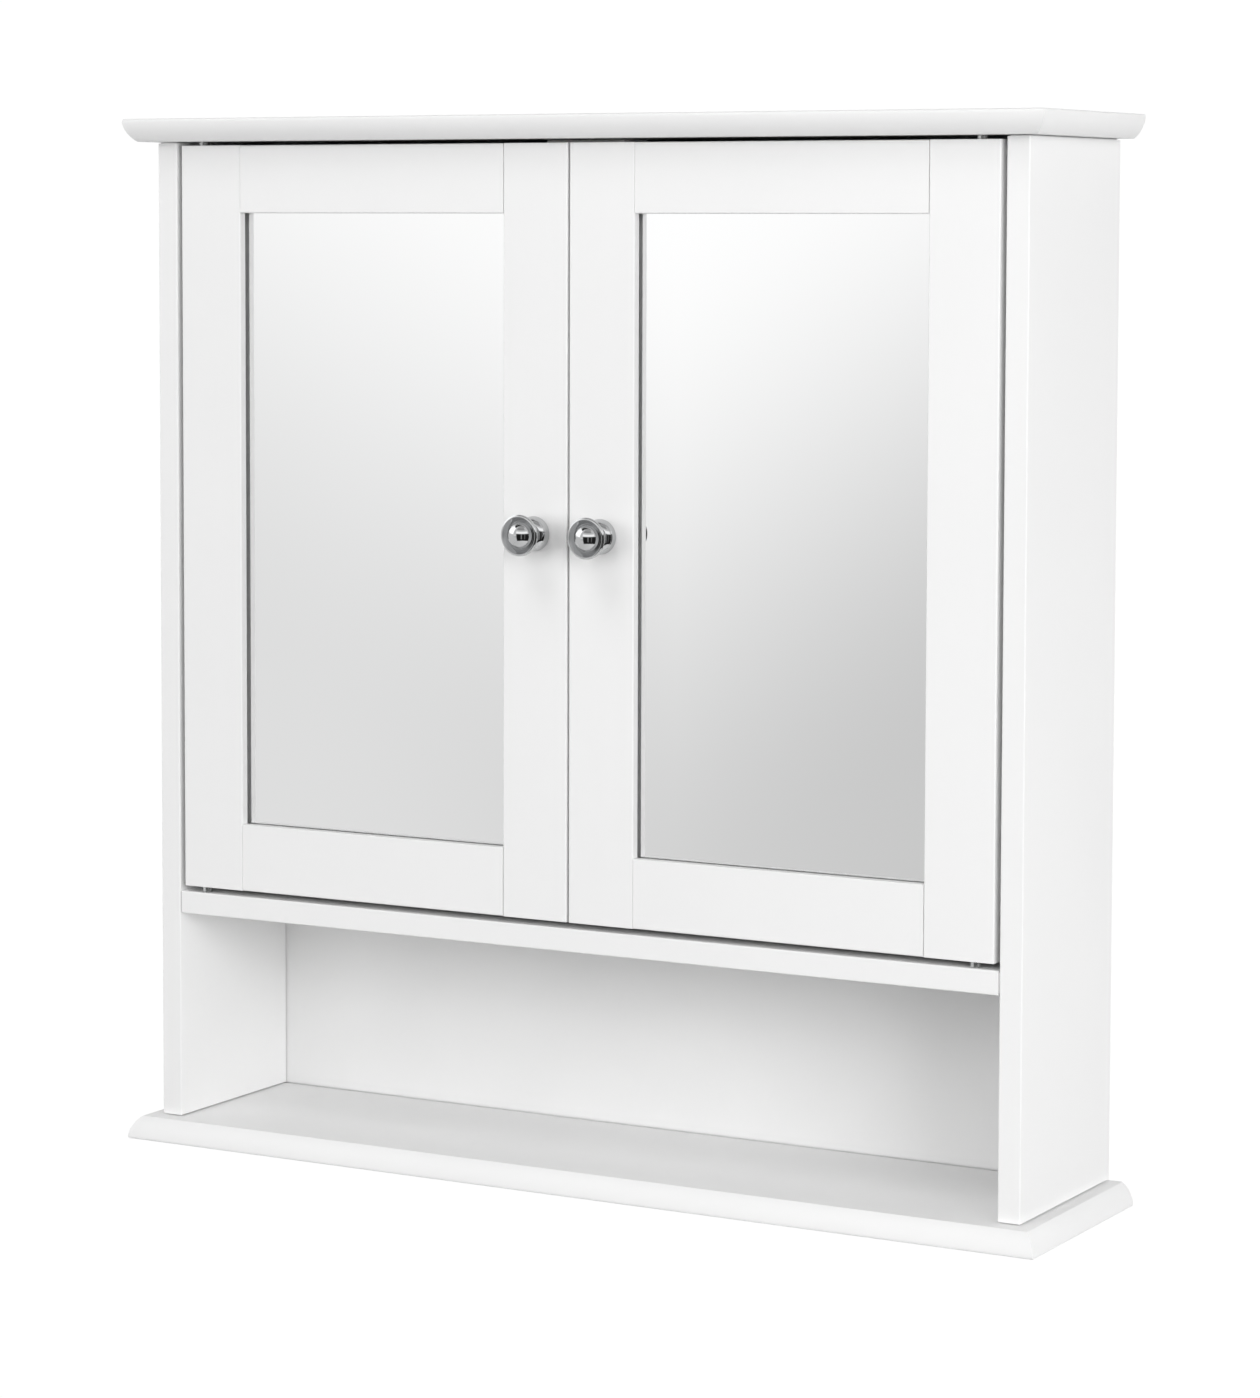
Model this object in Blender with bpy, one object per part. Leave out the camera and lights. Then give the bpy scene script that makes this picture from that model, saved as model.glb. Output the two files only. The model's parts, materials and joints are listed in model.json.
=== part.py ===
"""Hanging wall cabinet with two mirror doors over an open niche.

The frame: the origin is on the wall plane, at the middle of the top board's rear edge, from which
the cabinet hangs. +X is to the right for someone facing the doors, +Y runs into the wall and +Z
is up, so everything in front of the wall has a negative Y. Every size below is in millimetres,
and make() writes metres.
"""

import math

import bmesh
import bpy
from mathutils import Matrix, Vector

MM = 0.001
GAP = 0.3  # air between two pieces that touch
SEAT = 0.6  # depth of the straight rim above a countersink

# The carcass
WIDTH = 560.0  # the top and bottom boards, end to end
HEIGHT = 578.0
DEPTH = 132.0  # the top and bottom boards, wall to front
BOARD = 12.7  # every painted board
END_OVERHANG = 14.0
FRONT_OVERHANG = 15.0
NICHE_HEIGHT = 117.0
EDGE = 0.8  # radius of the boards' eased edges
PANEL = 3.0  # back panel and mirror backing
PANEL_SETBACK = 7.0  # the wall to the rear of the back panel
GROOVE = 5.0  # how far the back panel enters the boards round it

# The moulding of the top and bottom boards: a lip, then a convex slope to the board's flat side
LIP = 1.9
LIP_ROUND = 1.3
LIP_STEPS = 3
MOULD_INSET = 6.6
MOULD_STEPS = 7
MOULD_START = math.radians(8)  # the slope's lean where it leaves the lip
MOULD_END = math.radians(56)  # and where it meets the round at the flat side
MOULD_ROUND = 1.1

# The doors
DOOR = 16.0  # thickness
SIDE_GAP = 3.2
MEETING_GAP = 1.4
TOP_GAP = 2.2
BOTTOM_GAP = 3.4
STILE = 39.5
RAIL = 37.5
REBATE = 7.0  # width of the rebate that holds the mirror
REVEAL = 5.0  # depth of the mirror behind the door's face
MIRROR = 3.0
MIRROR_PLAY = 0.5  # between the mirror and the rebate's wall
PIVOT_IN = 12.3  # the pivot from the door's outer edge
PIVOT_BACK = 5.0  # and from its face
PIN_R = 2.0
PIN_COLLAR_R = 2.9
PIN_IN_DOOR = 15.0
PIN_IN_BOARD = 7.5

# Knobs and catch
KNOB_BALL = (7.7, 13.2)  # radius, and distance of the centre from the knob's foot
KNOB_BALL_STEPS = 6
KNOB_SCREW_R = 1.9
KNOB_SCREW_HEAD = (3.7, 2.2)  # radius and height
KNOB_BORE = 9.0
KNOB_SCREW_REACH = 8.0
STRIKE = (14.0, 1.6, 14.0)
STRIKE_X = 12.0
STRIKE_Z = -17.0
MAGNET = (40.0, 8.8, 8.0)
MAGNET_Z = -15.0
MAGNET_PROUD = 0.5
MAGNET_EDGE = 0.4
CATCH_HALF = 24.0
CATCH_DROP = 15.5
CATCH_BLOCK = 12.0
CATCH_TAB = (12.0, 3.0)

# Adjustable shelf
SHELF_DEPTH = 82.0
SHELF_PLAY = 1.8
SHELF_HOLE_PITCH = 32.0
SHELF_PIN_R = 2.5
SHELF_PIN_DEPTH = 7.5
SHELF_PIN_PEG = 5.5
SHELF_PIN_COLLAR = (0.9, 1.0)  # how far it stands out from the pin, and its thickness
SHELF_BACK_PLAY = 1.0
SHELF_COLUMNS = {"front": -84.0, "rear": -26.0}

# Fastenings
BOARD_SCREW = (38.0, 4.0, 2.0)  # length, head radius, shank radius
BOARD_SCREW_PLACES = {"front": -92.0, "rear": -30.0}
SMALL_SCREW = (14.0, 2.6, 1.4)
STRIKE_SCREW = (10.0, 2.6, 1.4)
CATCH_SCREW = (11.0, 3.2, 1.5)
CAM_R = 6.0
CAM_DEPTH = 9.5
CAM_SETBACK = 24.0
CAM_PLACES = {"front": -95.0, "rear": -32.0}
CAM_EDGE = 0.4
CAM_DRIVE = (4.0, 0.7, 1.2)  # half length, half width and depth of the screwdriver's slot
POST_R = 2.5
POST_PLAY = 0.8  # between a post and the bore or slot it passes through
POST_WALL = 3.5  # left of the side panel behind a post
HANGER = 40.0
HANGER_THICK = 1.5
HANGER_OUT = 264.3  # the plate's outer edge from the middle of the cabinet
HANGER_TOP = 4.8
HANGER_CORNER = 3.0
HANGER_SCREWS = {"side": (261.0, -27.0), "top": (231.0, 1.7)}  # x and z, on the right
KEYHOLE = (240.0, -24.0, 5.0, 2.4, 12.0)  # x, z, head radius, slot half width, rise of the slot

# Places that follow from the sizes
TOP = BOARD / 2
TOP_UNDER = TOP - BOARD
BOTTOM = TOP - HEIGHT
NICHE_FLOOR = BOTTOM + BOARD
SHELF_UNDER = NICHE_FLOOR + NICHE_HEIGHT
SHELF_TOP = SHELF_UNDER + BOARD
OUTER = WIDTH / 2 - END_OVERHANG
INNER = OUTER - BOARD
FRONT = FRONT_OVERHANG - DEPTH
PANEL_REAR = -PANEL_SETBACK
PANEL_FRONT = PANEL_REAR - PANEL
DOOR_TOP = TOP_UNDER - TOP_GAP
DOOR_BOTTOM = SHELF_TOP + BOTTOM_GAP
DOOR_OUT = INNER - SIDE_GAP
DOOR_IN = MEETING_GAP / 2
DOOR_REAR = FRONT + DOOR
OPENING_OUT = DOOR_OUT - STILE
OPENING_IN = DOOR_IN + STILE
OPENING_TOP = DOOR_TOP - RAIL
OPENING_BOTTOM = DOOR_BOTTOM + RAIL
PIVOT_X = DOOR_OUT - PIVOT_IN
PIVOT_Y = FRONT + PIVOT_BACK
KNOB_X = DOOR_IN + STILE / 2
KNOB_Z = (DOOR_TOP + DOOR_BOTTOM) / 2
MID_INSIDE = (TOP_UNDER + SHELF_TOP) / 2

# Finishes: colour, roughness, metallic
FINISHES = {
    "paint": ((0.86, 0.86, 0.85), 0.42, 0.0),
    "hardboard": ((0.80, 0.80, 0.79), 0.55, 0.0),
    "mirror": ((0.90, 0.92, 0.92), 0.03, 1.0),
    "chrome": ((0.75, 0.76, 0.78), 0.06, 1.0),
    "steel": ((0.62, 0.62, 0.60), 0.30, 1.0),
    "plastic": ((0.82, 0.82, 0.80), 0.40, 0.0),
    "magnet": ((0.10, 0.10, 0.11), 0.55, 0.2),
}
SIDES = {"left": -1, "right": 1}


# ---------------------------------------------------------------- shapes
def arc(centre, radius, start, end, steps):
    """Points along an arc, both ends included; the angles are in radians."""
    turns = [start + (end - start) * i / steps for i in range(steps + 1)]
    return [(centre[0] + radius * math.cos(a), centre[1] + radius * math.sin(a)) for a in turns]


def outline(corners, steps=3):
    """A closed outline from (u, v, radius) corners, each rounded to its radius."""
    points = []
    for i, (u, v, radius) in enumerate(corners):
        here = Vector((u, v))
        if radius == 0:
            points.append((u, v))
            continue
        before = (Vector(corners[i - 1][:2]) - here).normalized()
        after = (Vector(corners[(i + 1) % len(corners)][:2]) - here).normalized()
        centre = here + (before + after) * radius
        first, last = here + before * radius - centre, here + after * radius - centre
        start = math.atan2(first.y, first.x)
        turn = first.angle_signed(last)
        points += arc(centre, radius, start, start - turn, steps)
    return points


def prism(bm, points, axis, low, high):
    """Adds an outline swept straight along an axis. Its (u, v) are the two other axes in order."""
    place = {
        "X": lambda u, v, w: (w, u, v),
        "Y": lambda u, v, w: (u, w, v),
        "Z": lambda u, v, w: (u, v, w),
    }[axis]
    rings = [[bm.verts.new(place(u, v, w)) for u, v in points] for w in (low, high)]
    count = len(points)
    faces = [bm.faces.new(rings[0]), bm.faces.new(rings[1])]
    for i in range(count):
        j = (i + 1) % count
        faces.append(bm.faces.new((rings[0][i], rings[0][j], rings[1][j], rings[1][i])))
    bmesh.ops.recalc_face_normals(bm, faces=faces)


def block(bm, x, y, z):
    """Adds a box from three (low, high) pairs, in any order."""
    (x0, x1), (y0, y1), (z0, z1) = sorted(x), sorted(y), sorted(z)
    prism(bm, [(x0, y0), (x1, y0), (x1, y1), (x0, y1)], "Z", z0, z1)


def turned(bm, profile, place, direction, steps):
    """Adds a solid of revolution. The profile's (radius, height) pairs start and end on the axis,
    and its height runs along the direction from the place."""
    turn = Vector((0, 0, 1)).rotation_difference(Vector(direction)).to_matrix().to_4x4()
    move = Matrix.Translation(place) @ turn
    rings = []
    for radius, height in profile:
        if radius == 0:
            rings.append([bm.verts.new(move @ Vector((0, 0, height)))])
            continue
        angles = [2 * math.pi * i / steps for i in range(steps)]
        ring = [Vector((radius * math.cos(a), radius * math.sin(a), height)) for a in angles]
        rings.append([bm.verts.new(move @ p) for p in ring])
    faces = []
    for low, high in zip(rings, rings[1:]):
        for i in range(steps):
            j = (i + 1) % steps
            corners = [low[i % len(low)], low[j % len(low)], high[j % len(high)], high[i % len(high)]]
            faces.append(bm.faces.new(list(dict.fromkeys(corners))))
    bmesh.ops.recalc_face_normals(bm, faces=faces)


def bore(bm, mouth, direction, radius, depth, sink=0.0, steps=12):
    """Adds a drill for a hole that runs from its mouth into the material. A sink is the radius of
    a 90 degree countersink at the mouth."""
    outside = 1.0
    wide = max(sink, radius)
    profile = [(0, -outside), (wide, -outside)]
    if sink:
        profile += [(wide, SEAT), (radius, SEAT + wide - radius)]
    profile += [(radius, depth), (0, depth)]
    turned(bm, profile, mouth, direction, steps)


def make(name, bm, finish, hinge=None, smooth=True):
    """Turns a bmesh in millimetres into a named object with its own material."""
    bmesh.ops.scale(bm, vec=(MM, MM, MM), verts=bm.verts)
    mesh = bpy.data.meshes.new(name)
    bm.to_mesh(mesh)
    bm.free()
    obj = bpy.data.objects.new(name, mesh)
    bpy.context.scene.collection.objects.link(obj)
    if smooth:
        mesh.shade_smooth()
        mesh.set_sharp_from_angle(angle=math.radians(35))
    colour, roughness, metallic = FINISHES[finish]
    material = bpy.data.materials.new(name)
    material.use_nodes = True
    shader = material.node_tree.nodes["Principled BSDF"]
    shader.inputs["Base Color"].default_value = (*colour, 1)
    shader.inputs["Roughness"].default_value = roughness
    shader.inputs["Metallic"].default_value = metallic
    mesh.materials.append(material)
    if hinge:
        obj.parent = hinge
        obj.matrix_parent_inverse = Matrix.Translation(-hinge.location)
    return obj


def cut(target, bm, label):
    """Cuts the shapes in a bmesh out of an object."""
    cutter = make(f"{target.name}_{label}", bm, "steel", smooth=False)
    cutter.hide_render = True
    cutter.display_type = "WIRE"
    modifier = target.modifiers.new(label, "BOOLEAN")
    modifier.operation = "DIFFERENCE"
    modifier.solver = "EXACT"
    modifier.object = cutter


def screw(name, mouth, direction, size, hinge=None):
    """A countersunk screw whose head lies flush at the mouth, with a cross recess."""
    length, head, shank = size
    bm = bmesh.new()
    profile = [(0, GAP), (head, GAP), (head, SEAT), (shank, SEAT + head - shank)]
    profile += [(shank, length - 2 * shank), (shank / 3, length), (0, length)]
    turned(bm, profile, mouth, direction, 12)
    obj = make(name, bm, "steel", hinge)
    turn = Vector((0, 0, 1)).rotation_difference(Vector(direction)).to_matrix().to_4x4()
    bm = bmesh.new()
    arm, half = head * 0.62, head * 0.13
    cross = [(arm, half), (half, half), (half, arm), (-half, arm), (-half, half), (-arm, half)]
    cross += [(-u, -v) for u, v in cross]
    prism(bm, cross, "Z", -1, GAP + head * 0.4)
    bmesh.ops.transform(bm, matrix=Matrix.Translation(mouth) @ turn, verts=bm.verts)
    cut(obj, bm, "recess")
    return obj


# ---------------------------------------------------------------- carcass
def mould_rows():
    """The moulding's (inset, drop) pairs, from a board's widest side to its flat side: the round
    on the lip, the lip, the slope whose lean grows steadily, and the round at the flat side."""
    turns = [math.radians(90 * i / LIP_STEPS) for i in range(LIP_STEPS + 1)]
    rows = [(LIP_ROUND * (1 - math.sin(a)), LIP_ROUND * (1 - math.cos(a))) for a in turns]
    edge = MOULD_ROUND * (1 - math.sin(MOULD_END))
    radius = (BOARD - LIP - edge) / (math.sin(MOULD_END) - math.sin(MOULD_START))
    natural = radius * (math.cos(MOULD_START) - math.cos(MOULD_END))
    scale = (MOULD_INSET - MOULD_ROUND * math.cos(MOULD_END)) / natural
    for i in range(MOULD_STEPS + 1):
        lean = MOULD_START + (MOULD_END - MOULD_START) * i / MOULD_STEPS
        inset = scale * radius * (math.cos(MOULD_START) - math.cos(lean))
        rows.append((inset, LIP + radius * (math.sin(lean) - math.sin(MOULD_START))))
    half = (MOULD_END + math.pi / 2) / 2
    reach = MOULD_ROUND * (math.cos(MOULD_END) - math.cos(half))
    rows.append((rows[-1][0] + reach, BOARD - MOULD_ROUND * (1 - math.sin(half))))
    rows.append((MOULD_INSET, BOARD))
    return rows


def moulded_board(name, flat_z, wide_z):
    """A board whose front and ends are moulded, from its flat side to its widest side. The corners
    are mitred, and the rear edge is square, on the wall plane."""
    up = 1 if wide_z > flat_z else -1
    bm = bmesh.new()
    rings = []
    for inset, drop in mould_rows():
        x, y, z = WIDTH / 2 - inset, inset - DEPTH, wide_z - up * drop
        rings.append([bm.verts.new(p) for p in ((-x, 0, z), (-x, y, z), (x, y, z), (x, 0, z))])
    bm.faces.new(rings[0])
    bm.faces.new(rings[-1])
    for low, high in zip(rings, rings[1:]):
        for i in range(3):
            bm.faces.new((low[i], low[i + 1], high[i + 1], high[i]))
    rear = [ring[0] for ring in rings] + [ring[3] for ring in reversed(rings)]
    bm.faces.new(rear)
    bmesh.ops.recalc_face_normals(bm, faces=bm.faces)
    return make(name, bm, "paint")


def panel_groove(bm, z0, z1):
    """The back panel's groove, along the width, in the top or bottom board."""
    reach = INNER + GROOVE
    block(bm, (-reach, reach), (PANEL_FRONT - GAP, PANEL_REAR + GAP), (z0, z1))


def hanger_recess(bm, side):
    """The mortise for a hanger plate in the rear edges of the top board and the side panel."""
    x = (side * (HANGER_OUT + GAP), side * (HANGER_OUT - HANGER - GAP))
    y = (1, -HANGER_THICK - GAP)
    block(bm, x, y, (HANGER_TOP + GAP, HANGER_TOP - HANGER - GAP))


def hanger_screw_places(side):
    """Where a hanger plate is screwed to the side panel and to the top board."""
    return {where: (side * x, 0, z) for where, (x, z) in HANGER_SCREWS.items()}


def top_board():
    board = moulded_board("top_board", TOP_UNDER, TOP)
    bm = bmesh.new()
    panel_groove(bm, TOP_UNDER - 1, TOP_UNDER + GROOVE)
    for side in SIDES.values():
        hanger_recess(bm, side)
    cut(board, bm, "grooves")
    bm = bmesh.new()
    _, head, shank = BOARD_SCREW
    for side in SIDES.values():
        for y in BOARD_SCREW_PLACES.values():
            mouth = (side * (OUTER - BOARD / 2), y, TOP)
            bore(bm, mouth, (0, 0, -1), shank + GAP, BOARD + 1, head + GAP)
        bore(bm, (side * PIVOT_X, PIVOT_Y, TOP_UNDER), (0, 0, 1), PIN_R + GAP, PIN_IN_BOARD + GAP)
        place = hanger_screw_places(side)["top"]
        bore(bm, place, (0, -1, 0), SMALL_SCREW[2] + GAP, SMALL_SCREW[0] + GAP)
    length, _, shank = CATCH_SCREW
    depth = length - CATCH_TAB[1]
    bore(bm, (0, catch_screw_y(), TOP_UNDER), (0, 0, 1), shank + GAP, depth)
    cut(board, bm, "holes")


def bottom_board():
    board = moulded_board("bottom_board", NICHE_FLOOR, BOTTOM)
    bm = bmesh.new()
    panel_groove(bm, NICHE_FLOOR - GROOVE, NICHE_FLOOR + 1)
    cut(board, bm, "groove")
    bm = bmesh.new()
    _, head, shank = BOARD_SCREW
    for side in SIDES.values():
        for y in BOARD_SCREW_PLACES.values():
            mouth = (side * (OUTER - BOARD / 2), y, BOTTOM)
            bore(bm, mouth, (0, 0, 1), shank + GAP, BOARD + 1, head + GAP)
    cut(board, bm, "holes")


def side_panel(word, side):
    inner, outer, groove = side * INNER, side * OUTER, side * (INNER + GROOVE)
    near, far = PANEL_FRONT - GAP, PANEL_REAR + GAP
    corners = [(inner, FRONT, EDGE), (outer, FRONT, EDGE), (outer, 0, 0), (inner, 0, 0)]
    corners += [(inner, far, 0), (groove, far, 0), (groove, near, 0), (inner, near, 0)]
    bm = bmesh.new()
    prism(bm, outline(corners), "Z", NICHE_FLOOR + GAP, TOP_UNDER - GAP)
    panel = make(f"{word}_side_panel", bm, "paint")
    bm = bmesh.new()
    hanger_recess(bm, side)
    cut(panel, bm, "recess")
    bm = bmesh.new()
    length, _, shank = BOARD_SCREW
    depth = length - BOARD
    for y in BOARD_SCREW_PLACES.values():
        middle = side * (OUTER - BOARD / 2)
        bore(bm, (middle, y, TOP_UNDER - GAP), (0, 0, -1), shank + GAP, depth)
        bore(bm, (middle, y, NICHE_FLOOR + GAP), (0, 0, 1), shank + GAP, depth)
    for y in CAM_PLACES.values():
        place = (inner, y, SHELF_UNDER + BOARD / 2)
        bore(bm, place, (side, 0, 0), POST_R + GAP, BOARD - POST_WALL)
    for y in SHELF_COLUMNS.values():
        for row in (-1, 0, 1):
            place = (inner, y, MID_INSIDE + row * SHELF_HOLE_PITCH)
            bore(bm, place, (side, 0, 0), SHELF_PIN_R + GAP, SHELF_PIN_DEPTH + GAP)
    place = hanger_screw_places(side)["side"]
    bore(bm, place, (0, -1, 0), SMALL_SCREW[2] + GAP, SMALL_SCREW[0] + GAP)
    cut(panel, bm, "holes")


def fixed_shelf():
    rear = PANEL_FRONT - GAP
    corners = [(FRONT, SHELF_UNDER, EDGE), (FRONT, SHELF_TOP, EDGE), (rear, SHELF_TOP, 0)]
    corners.append((rear, SHELF_UNDER, 0))
    end = INNER - GAP
    bm = bmesh.new()
    prism(bm, outline(corners), "X", -end, end)
    shelf = make("fixed_shelf", bm, "paint")
    bm = bmesh.new()
    for side in SIDES.values():
        for y in CAM_PLACES.values():
            place = (side * (end - CAM_SETBACK), y, SHELF_UNDER)
            bore(bm, place, (0, 0, 1), CAM_R + GAP, CAM_DEPTH, steps=20)
        bore(bm, (side * PIVOT_X, PIVOT_Y, SHELF_TOP), (0, 0, -1), PIN_R + GAP, PIN_IN_BOARD + GAP)
    cut(shelf, bm, "cam_bores")
    bm = bmesh.new()
    for side in SIDES.values():
        for y in CAM_PLACES.values():
            place = (side * end, y, SHELF_UNDER + BOARD / 2)
            bore(bm, place, (-side, 0, 0), POST_R + POST_PLAY, CAM_SETBACK)
    cut(shelf, bm, "post_bores")


def back_panel():
    reach = INNER + GROOVE - GAP
    bm = bmesh.new()
    z = (NICHE_FLOOR - GROOVE + GAP, TOP_UNDER + GROOVE - GAP)
    block(bm, (-reach, reach), (PANEL_FRONT, PANEL_REAR), z)
    make("back_panel", bm, "hardboard")


# ---------------------------------------------------------------- fittings of the carcass
def board_screws():
    for word, side in SIDES.items():
        for where, y in BOARD_SCREW_PLACES.items():
            x = side * (OUTER - BOARD / 2)
            screw(f"top_screw_{word}_{where}", (x, y, TOP), (0, 0, -1), BOARD_SCREW)
            screw(f"bottom_screw_{word}_{where}", (x, y, BOTTOM), (0, 0, 1), BOARD_SCREW)


def shelf_cam(name, x, y, side):
    """A cam lock in the fixed shelf's underside, slotted for the post that comes from the side."""
    middle = SHELF_UNDER + BOARD / 2
    low, high = SHELF_UNDER + GAP, SHELF_UNDER + CAM_DEPTH - GAP
    profile = [(0, 0), (CAM_R - CAM_EDGE, 0), (CAM_R, CAM_EDGE), (CAM_R, high - low)]
    bm = bmesh.new()
    turned(bm, profile + [(0, high - low)], (x, y, low), (0, 0, 1), 20)
    cam = make(name, bm, "steel")
    slot = POST_R + POST_PLAY
    bm = bmesh.new()
    span = (x - side * CAM_R * 2 / 3, x + side * 2 * CAM_R)
    block(bm, span, (y - slot, y + slot), (middle - slot, high + 1))
    cut(cam, bm, "slot")
    long, wide, deep = CAM_DRIVE
    bm = bmesh.new()
    block(bm, (x - long, x + long), (y - wide, y + wide), (low - 1, low + deep))
    cut(cam, bm, "drive")


def cam_post(name, tip, y, side):
    """A post screwed into the side panel, with a collar at its face and a head in the cam."""
    root = INNER + BOARD - POST_WALL - GAP
    face, end = root - INNER, root - tip
    neck, collar = POST_R - 0.6, POST_R + 0.4
    profile = [(0, 0), (neck, 0), (POST_R, 1.5), (POST_R, face + 0.3), (collar, face + 0.3)]
    profile += [(collar, face + 1.5), (neck, face + 2.2), (neck, end - 2.5), (POST_R, end - 2)]
    profile += [(POST_R, end), (0, end)]
    bm = bmesh.new()
    turned(bm, profile, (side * root, y, SHELF_UNDER + BOARD / 2), (-side, 0, 0), 12)
    make(name, bm, "steel")


def shelf_fittings():
    """The cam locks and posts that hold the fixed shelf between the side panels."""
    for word, side in SIDES.items():
        reach = INNER - GAP - CAM_SETBACK
        for where, y in CAM_PLACES.items():
            shelf_cam(f"shelf_cam_{word}_{where}", side * reach, y, side)
            cam_post(f"cam_post_{word}_{where}", reach, y, side)


def keyhole():
    """The outline of a hanger's keyhole, for the right-hand plate."""
    x, z, head, slot, rise = KEYHOLE
    meet = math.asin(slot / head)
    points = arc((x, z), head, math.pi / 2 + meet, 2.5 * math.pi - meet, 16)
    return points + arc((x, z + rise), slot, 0, math.pi, 6)


def hangers():
    corner = HANGER_CORNER
    for word, side in SIDES.items():
        near, far = side * (HANGER_OUT - HANGER), side * HANGER_OUT
        low, high = HANGER_TOP - HANGER, HANGER_TOP
        corners = [(near, low), (far, low), (far, high), (near, high)]
        bm = bmesh.new()
        prism(bm, outline([(*c, corner) for c in corners], 5), "Y", -HANGER_THICK, 0)
        plate = make(f"hanger_plate_{word}", bm, "steel")
        bm = bmesh.new()
        prism(bm, [(side * u, v) for u, v in keyhole()], "Y", -HANGER_THICK - 1, 1)
        for where, place in hanger_screw_places(side).items():
            _, head, shank = SMALL_SCREW
            bore(bm, place, (0, -1, 0), shank + GAP, HANGER_THICK + 1, head + GAP)
            screw(f"hanger_screw_{word}_{where}", place, (0, -1, 0), SMALL_SCREW)
        cut(plate, bm, "holes")


def adjustable_shelf():
    low = MID_INSIDE + SHELF_PIN_R + GAP
    high = low + BOARD
    rear = PANEL_FRONT - SHELF_BACK_PLAY
    front = rear - SHELF_DEPTH
    corners = [(front, low, EDGE), (front, high, EDGE), (rear, high, 0), (rear, low, 0)]
    bm = bmesh.new()
    prism(bm, outline(corners), "X", SHELF_PLAY - INNER, INNER - SHELF_PLAY)
    make("adjustable_shelf", bm, "paint")


def shelf_pins():
    """The pins under the adjustable shelf: a stem in the side panel, a collar and a peg."""
    proud, thick = SHELF_PIN_COLLAR
    face = SHELF_PIN_DEPTH + GAP
    end = face + thick + SHELF_PIN_PEG
    profile = [(0, 0), (SHELF_PIN_R - 0.5, 0), (SHELF_PIN_R, 0.5), (SHELF_PIN_R, face)]
    profile += [(SHELF_PIN_R + proud, face), (SHELF_PIN_R + proud, face + thick)]
    profile += [(SHELF_PIN_R, face + thick), (SHELF_PIN_R, end - 0.5), (SHELF_PIN_R - 0.5, end), (0, end)]
    for word, side in SIDES.items():
        for where, y in SHELF_COLUMNS.items():
            bm = bmesh.new()
            root = (side * (INNER + SHELF_PIN_DEPTH), y, MID_INSIDE)
            turned(bm, profile, root, (-side, 0, 0), 12)
            make(f"shelf_pin_{word}_{where}", bm, "steel")


def catch_screw_y():
    """The catch screw's place, in the middle of the housing's tab."""
    return catch_front() + CATCH_BLOCK + CATCH_TAB[0] / 2


def catch_front():
    """The front of the catch housing: the magnet stands a little proud of it, at the strikes."""
    return DOOR_REAR + GAP + STRIKE[1] + GAP + MAGNET_PROUD


def magnetic_catch():
    front, top = catch_front(), TOP_UNDER - GAP
    rear, under = front + CATCH_BLOCK, top - CATCH_DROP
    tab, thick = CATCH_TAB
    corners = [(front, top, 1), (front, under, 1.5), (rear, under, 1.5), (rear, top - thick, 0)]
    corners += [(rear + tab, top - thick, 1), (rear + tab, top, 1)]
    bm = bmesh.new()
    prism(bm, outline(corners), "X", -CATCH_HALF, CATCH_HALF)
    housing = make("catch_housing", bm, "plastic")
    wide, deep, tall = MAGNET
    face = front - MAGNET_PROUD
    bm = bmesh.new()
    x, z = wide / 2 + GAP, tall / 2 + GAP
    block(bm, (-x, x), (front - 1, face + deep + GAP), (MAGNET_Z - z, MAGNET_Z + z))
    _, head, shank = CATCH_SCREW
    place = (0, catch_screw_y(), top - thick)
    bore(bm, place, (0, 0, 1), shank + GAP, thick + 1, head + GAP)
    cut(housing, bm, "pocket")
    bm = bmesh.new()
    half = tall / 2
    corners = [(face, MAGNET_Z - half, MAGNET_EDGE), (face + deep, MAGNET_Z - half, 0)]
    corners += [(face + deep, MAGNET_Z + half, 0), (face, MAGNET_Z + half, MAGNET_EDGE)]
    prism(bm, outline(corners), "X", -wide / 2, wide / 2)
    make("catch_magnet", bm, "magnet")
    screw("catch_screw", place, (0, 0, 1), CATCH_SCREW)


# ---------------------------------------------------------------- doors
def hinge_empty(word, side):
    """The door's axis: vertical, through its two pivot pins."""
    hinge = bpy.data.objects.new(f"{word}_door_hinge", None)
    hinge.location = (side * PIVOT_X * MM, PIVOT_Y * MM, 0)
    bpy.context.scene.collection.objects.link(hinge)
    return hinge


def door_stiles(word, side, hinge):
    """Two uprights the door's full height, rebated behind for the mirror."""
    lip = FRONT + REVEAL
    spans = {"hinge_stile": (DOOR_OUT, OPENING_OUT, 1), "meeting_stile": (DOOR_IN, OPENING_IN, -1)}
    for piece, (edge, opening, out) in spans.items():
        wall = side * (opening + out * REBATE)
        edge, opening = side * edge, side * opening
        corners = [(edge, FRONT, EDGE), (edge, DOOR_REAR, EDGE), (wall, DOOR_REAR, 0)]
        corners += [(wall, lip, 0), (opening, lip, 0), (opening, FRONT, EDGE)]
        bm = bmesh.new()
        prism(bm, outline(corners), "Z", DOOR_BOTTOM, DOOR_TOP)
        stile = make(f"{word}_{piece}", bm, "paint", hinge)
        bm = bmesh.new()
        if piece == "hinge_stile":
            depth = PIN_IN_DOOR + GAP
            for z, way in ((DOOR_TOP, -1), (DOOR_BOTTOM, 1)):
                bore(bm, (side * PIVOT_X, PIVOT_Y, z), (0, 0, way), PIN_R + GAP, depth)
        else:
            place = (side * KNOB_X, DOOR_REAR, KNOB_Z)
            bore(bm, place, (0, -1, 0), KNOB_SCREW_R + GAP, DOOR + 1)
            place = (side * STRIKE_X, DOOR_REAR, STRIKE_Z)
            bore(bm, place, (0, -1, 0), STRIKE_SCREW[2] + GAP, STRIKE_SCREW[0])
        cut(stile, bm, "holes")


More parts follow.
